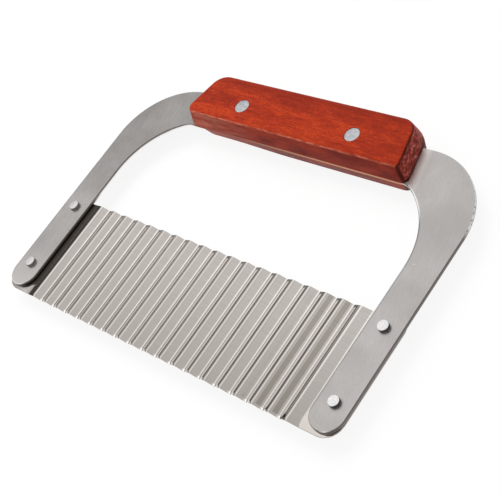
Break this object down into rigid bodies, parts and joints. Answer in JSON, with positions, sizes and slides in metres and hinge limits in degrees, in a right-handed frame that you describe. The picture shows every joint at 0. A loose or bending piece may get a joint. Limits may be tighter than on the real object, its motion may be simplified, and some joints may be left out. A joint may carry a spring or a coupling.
{
  "type": "crinkle soap cutter",
  "caption": "Hand-held crinkle cutter with a corrugated steel blade across the legs of a flat U-shaped steel frame and a wooden bar handle.",
  "frame": {"origin": "centre of the footprint, at the level of the handle's back face, with the cutter lying on its back", "axes": "+X along the blade towards the right leg, +Y from the cutting edge towards the handle, +Z out of the strap's front face"},
  "size_m": [0.185, 0.124, 0.017],
  "materials": {
    "frame_steel": "fine linear brushing across the bar, down the legs",
    "handle_wood": "red-brown stained hardwood, satin oil finish",
    "blade_steel": "rolled stainless sheet with a faint cross grain",
    "pin_aluminium": "sanded flush with the wood",
    "rivet_aluminium": "pale matt, flat-headed"
  },
  "bodies": {
    "root": {"strap_frame": "frame_steel", "wood_handle": "handle_wood", "wavy_blade": "blade_steel", "handle_pin_left": "pin_aluminium", "handle_pin_right": "pin_aluminium", "blade_rivet_lower_left": "rivet_aluminium", "blade_rivet_lower_right": "rivet_aluminium", "blade_rivet_upper_left": "rivet_aluminium", "blade_rivet_upper_right": "rivet_aluminium"}
  },
  "joints": []
}
